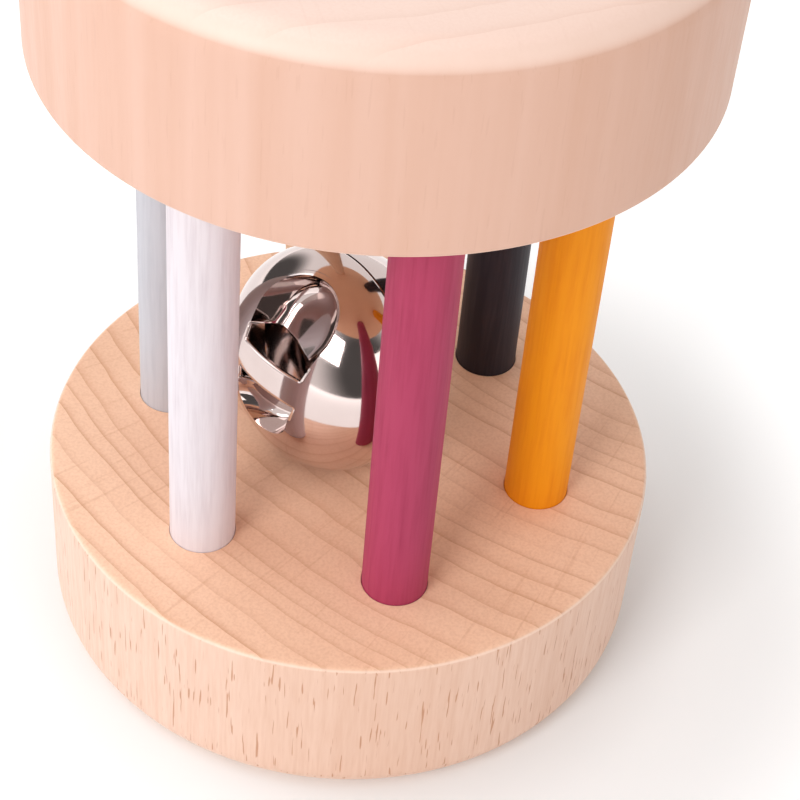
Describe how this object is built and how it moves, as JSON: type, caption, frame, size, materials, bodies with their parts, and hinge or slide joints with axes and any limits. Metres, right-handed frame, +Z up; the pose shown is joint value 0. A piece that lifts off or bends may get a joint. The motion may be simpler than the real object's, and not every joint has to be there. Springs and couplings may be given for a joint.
{
  "type": "rolling rattle",
  "caption": "Wooden baby rattle: two turned beech discs joined by a ring of painted dowels, with a loose ball bell trapped in the cage between them.",
  "frame": {"origin": "centre of the lower disc's flat underside, which the toy stands on", "axes": "+Z up along the axis of both discs, towards the upper disc; +X towards the orange dowel"},
  "size_m": [0.07, 0.07, 0.1],
  "materials": {
    "beech": "sanded beech with a thin oil finish",
    "orange_paint": "thin satin orange paint on beech",
    "black_paint": "thin satin black paint on beech",
    "grey_paint": "thin satin pale grey paint on beech",
    "white_paint": "thin satin white paint on beech",
    "magenta_paint": "thin satin magenta paint on beech",
    "nickel": "polished nickel plating on thin steel sheet",
    "steel": "plain steel ball"
  },
  "bodies": {
    "cage": {"lower_disc": "beech", "upper_disc": "beech", "dowel_orange": "orange_paint", "dowel_black": "black_paint", "dowel_plain": "beech", "dowel_grey": "grey_paint", "dowel_white": "white_paint", "dowel_magenta": "magenta_paint"},
    "bell": {"bell_cap": "nickel", "bell_cup": "nickel"},
    "pellet": {"bell_pellet": "steel"}
  },
  "joints": [
    {"name": "bell_travel", "type": "slide", "parent": "cage", "child": "bell", "axis": [0, 0, 1], "range_m": [0, 0.0304]},
    {"name": "pellet_travel", "type": "slide", "parent": "bell", "child": "pellet", "axis": [0, 0, 1], "range_m": [0, 0.014]}
  ]
}
